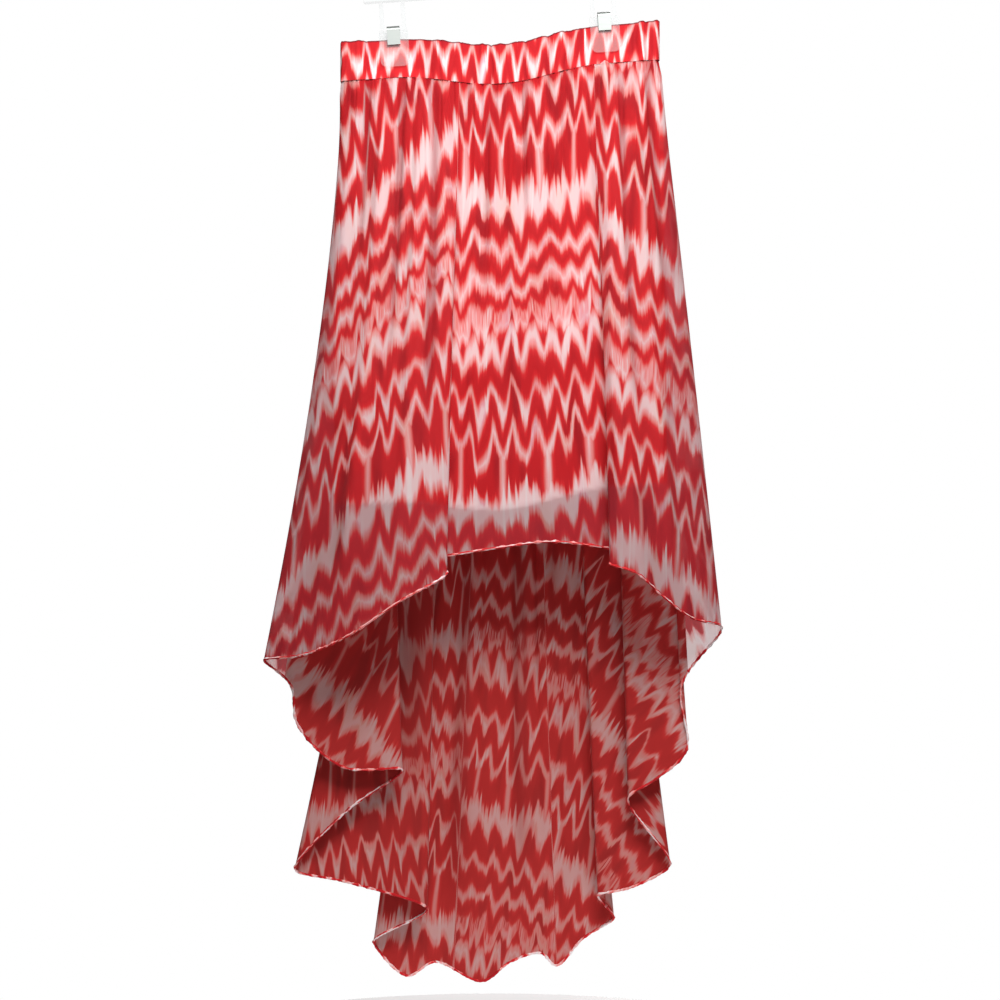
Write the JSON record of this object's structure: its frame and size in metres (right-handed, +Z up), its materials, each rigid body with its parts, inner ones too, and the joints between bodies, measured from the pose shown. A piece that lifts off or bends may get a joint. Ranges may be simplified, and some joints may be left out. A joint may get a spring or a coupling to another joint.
{
  "type": "high-low skirt on a clip hanger",
  "caption": "Gathered chiffon skirt with a short front and a long flared back over a plain slip, hanging from a clear clip hanger with a metal hook.",
  "frame": {"origin": "inside top of the hanger's hook, where a rail carries it", "axes": "+Z up, +X to the viewer's right, the skirt's short front faces -Y"},
  "size_m": [0.5166, 0.222, 1.2192],
  "materials": {
    "chiffon": "sheer crinkled chiffon, red flame-stitch ikat on pale pink",
    "slip_cloth": "thin plain-woven slip, pale pink",
    "clear_plastic": "clear moulded plastic",
    "spring_steel": "bright strip steel",
    "hook_wire": "plated wire"
  },
  "bodies": {
    "root": {"waistband": "chiffon", "skirt_front": "chiffon", "skirt_back": "chiffon", "lining": "slip_cloth", "hanger_bar": "clear_plastic", "clip_jaw_left": "clear_plastic", "clip_jaw_right": "clear_plastic", "clip_spring_left": "spring_steel", "clip_spring_right": "spring_steel", "hanger_hook": "hook_wire"}
  },
  "joints": []
}
